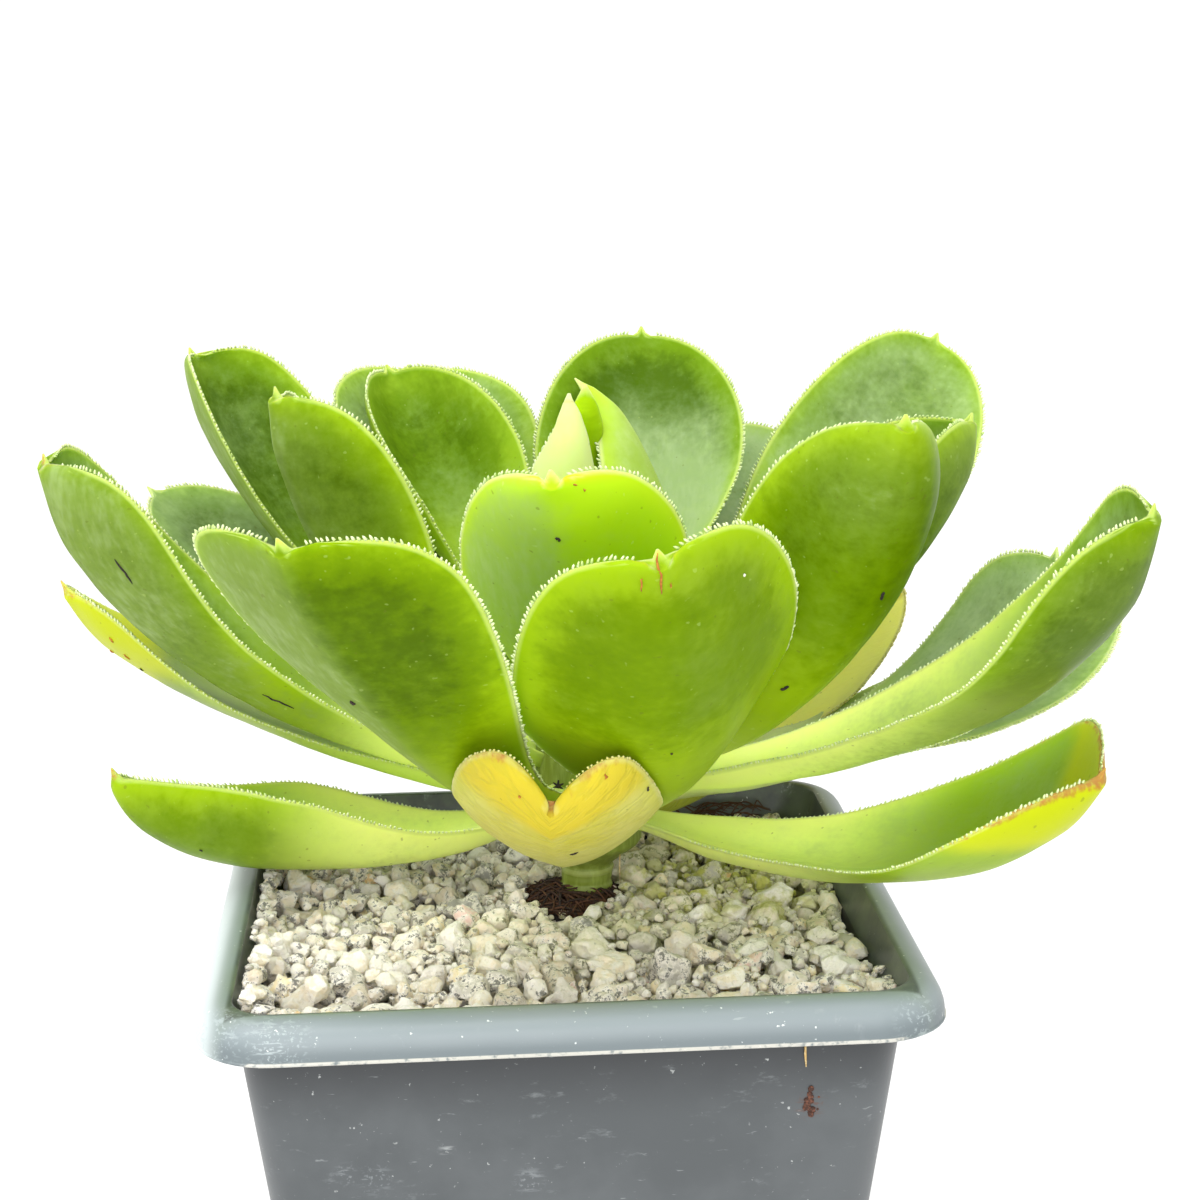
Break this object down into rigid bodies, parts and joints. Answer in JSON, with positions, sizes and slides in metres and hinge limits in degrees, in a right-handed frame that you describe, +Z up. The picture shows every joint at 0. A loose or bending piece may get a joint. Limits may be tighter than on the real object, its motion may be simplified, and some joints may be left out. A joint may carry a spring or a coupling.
{
  "type": "potted aeonium",
  "caption": "Succulent rosette of fleshy, fringed leaves on a short stem, rooted in grit in a tapered square nursery pot with a rolled lip.",
  "frame": {"origin": "centre of the pot's underside, on the surface that it stands on", "axes": "+Z up along the pot's height; the front, as pictured, looks along -Y, and +X is to the viewer's right"},
  "size_m": [0.136, 0.131, 0.1455],
  "materials": {
    "pot_plastic": "satin moulded polypropylene, mid grey",
    "growing_mix": "dark peaty growing mix",
    "coir": "matted dark brown coir fibre",
    "crushed_stone": "cream and grey crushed stone, matt",
    "stem_skin": "pale green living stem skin",
    "leaf_green": "bright green, softly waxy with a pale bloom",
    "leaf_grey": "grey green with a whitish bloom",
    "leaf_yellow": "yellowing old leaf, waxy"
  },
  "bodies": {
    "root": {"pot": "pot_plastic", "soil": "growing_mix", "coir_plug": "coir", "grit": "crushed_stone", "stem": "stem_skin", "leaf_low_left": "leaf_green", "leaf_yellow_front": "leaf_yellow", "leaf_low_right": "leaf_green", "leaf_yellow_tip_left": "leaf_green", "leaf_outer_left": "leaf_green", "leaf_grey_left": "leaf_grey", "leaf_tall_back_left": "leaf_green", "leaf_upper_left": "leaf_green", "leaf_front_left": "leaf_green", "leaf_front_right": "leaf_green", "leaf_upper_right": "leaf_green", "leaf_inner_right": "leaf_green", "leaf_tall_back_right": "leaf_green", "leaf_grey_back": "leaf_grey", "leaf_tall_back": "leaf_green", "leaf_back_left": "leaf_green", "leaf_back_left_outer": "leaf_green", "leaf_front_centre": "leaf_green", "leaf_heart_left": "leaf_green", "leaf_heart_right": "leaf_green", "leaf_heart_bud": "leaf_green", "leaf_outer_right": "leaf_green", "leaf_back_right": "leaf_grey", "leaf_pale_right": "leaf_grey", "leaf_yellow_back": "leaf_yellow", "leaf_hidden_back_1": "leaf_green", "leaf_hidden_back_2": "leaf_green", "leaf_hidden_back_3": "leaf_green"}
  },
  "joints": []
}
